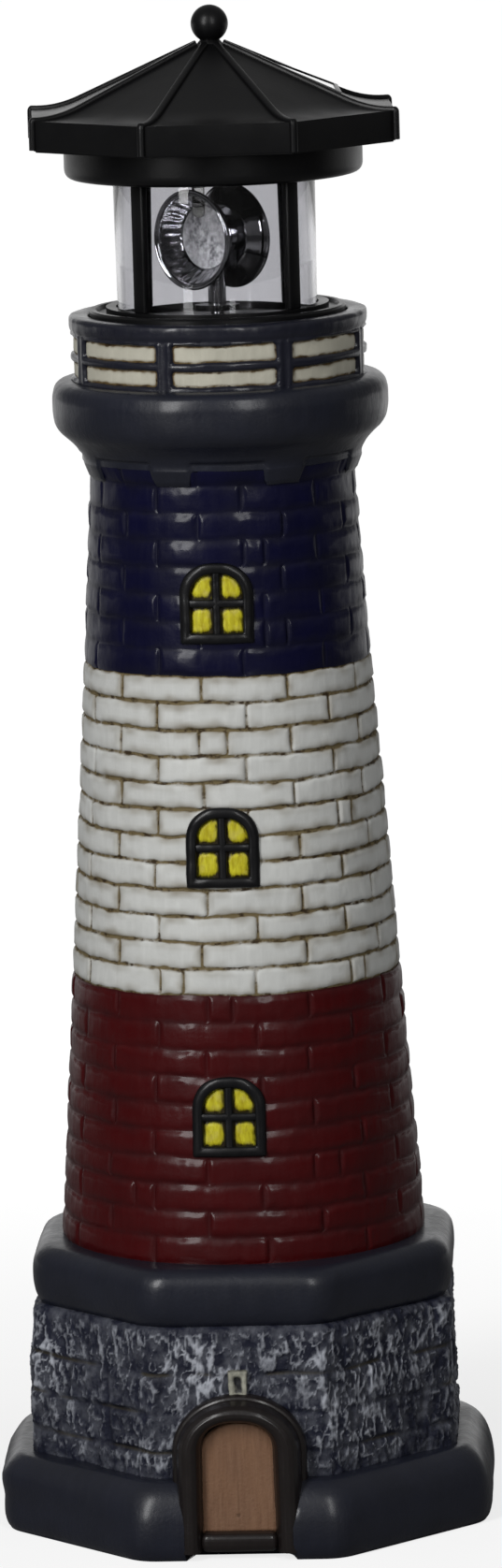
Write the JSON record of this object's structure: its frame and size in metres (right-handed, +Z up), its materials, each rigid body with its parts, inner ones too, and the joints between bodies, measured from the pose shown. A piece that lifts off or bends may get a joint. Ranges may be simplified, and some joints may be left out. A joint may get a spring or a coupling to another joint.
{
  "type": "garden lighthouse ornament",
  "caption": "Free-standing lighthouse ornament: hollow cast brick tower on an octagonal stone base, with a lift-out solar lantern whose back-to-back reflectors turn.",
  "frame": {"origin": "centre of the flat underside of the plinth, which stands on the ground", "axes": "+Z up along the tower and the beacon's spindle, -Y towards the side with the door"},
  "size_m": [0.1502, 0.1502, 0.455],
  "materials": {
    "slate_paint": "satin painted casting",
    "stone_paint": "rough painted casting with dry-brushed edges",
    "red_paint": "gloss painted casting",
    "white_paint": "satin painted casting with stained joints",
    "navy_paint": "gloss painted casting",
    "window_black": "gloss painted casting",
    "pane_yellow": "streaky painted casting",
    "cream_paint": "painted casting with stained edges",
    "door_paint": "painted wood-grain casting",
    "door_frame_paint": "satin painted casting",
    "black_plastic": "semi-gloss moulded plastic",
    "inner_plastic": "matte moulded plastic",
    "clear_plastic": "clear moulded plastic",
    "solar_glass": "glossy solar cell under clear resin",
    "chrome_plate": "mirror chrome plating",
    "bright_steel": "bright steel",
    "brass": "turned brass",
    "gear_plastic": "natural moulded plastic",
    "led_clear": "clear epoxy",
    "battery_wrap": "cell can in a green sleeve",
    "board_green": "lacquered circuit board",
    "switch_white": "moulded plastic"
  },
  "bodies": {
    "tower": {"plinth": "slate_paint", "stone_wall": "stone_paint", "keystone": "stone_paint", "door_frame": "door_frame_paint", "door": "door_paint", "door_sill": "door_frame_paint", "ledge": "slate_paint", "red_band": "red_paint", "white_band": "white_paint", "blue_band": "navy_paint", "lower_window_frame": "window_black", "middle_window_frame": "window_black", "upper_window_frame": "window_black", "lower_window_panes": "pane_yellow", "middle_window_panes": "pane_yellow", "upper_window_panes": "pane_yellow", "moulding": "slate_paint", "gallery_wall": "slate_paint", "railing_panels": "cream_paint"},
    "lantern": {"lantern_base": "black_plastic", "cage_posts": "black_plastic", "lamp_tube": "clear_plastic", "collar": "black_plastic", "soffit": "black_plastic", "roof": "black_plastic", "finial": "black_plastic", "solar_frames": "black_plastic", "solar_cells": "solar_glass", "gear_plate": "gear_plastic", "plate_screws": "bright_steel", "motor": "bright_steel", "idler_pin": "bright_steel", "spindle_bushes": "brass", "contact_brushes": "brass", "bottom_cover": "inner_plastic", "cover_screws": "bright_steel", "battery_holder": "inner_plastic", "battery": "battery_wrap", "battery_contacts": "bright_steel", "battery_hatch": "inner_plastic", "hatch_screw": "bright_steel", "circuit_board": "board_green", "switch_body": "bright_steel"},
    "beacon": {"spindle": "chrome_plate", "spindle_gear": "gear_plastic", "slip_rings": "brass", "rotor_hub": "black_plastic", "reflector_carrier": "chrome_plate", "front_reflector": "chrome_plate", "rear_reflector": "chrome_plate", "front_led": "led_clear", "rear_led": "led_clear"},
    "idler": {"idler_gear": "gear_plastic"},
    "motor_shaft": {"motor_pinion": "brass"},
    "slider": {"switch_slider": "switch_white"}
  },
  "joints": [
    {"name": "lantern_lift", "type": "slide", "parent": "tower", "child": "lantern", "axis": [0, 0, 1], "range_m": [0, 0.06]},
    {"name": "beacon_spin", "type": "hinge", "parent": "lantern", "child": "beacon", "pos_m": [0, 0, 0.386], "axis": [0, 0, 1], "continuous": true},
    {"name": "idler_spin", "type": "hinge", "parent": "lantern", "child": "idler", "pos_m": [0, 0.018, 0.354], "axis": [0, 0, 1], "continuous": true},
    {"name": "motor_spin", "type": "hinge", "parent": "lantern", "child": "motor_shaft", "pos_m": [0.01449, 0.01412, 0.353], "axis": [0, 0, 1], "continuous": true},
    {"name": "switch_slide", "type": "slide", "parent": "lantern", "child": "slider", "axis": [1, 0, 0], "range_m": [0, 0.003]}
  ],
  "couplings": [
    {"joint": "idler_spin", "follows": "beacon_spin", "ratio": -5},
    {"joint": "motor_spin", "follows": "beacon_spin", "ratio": 20}
  ]
}
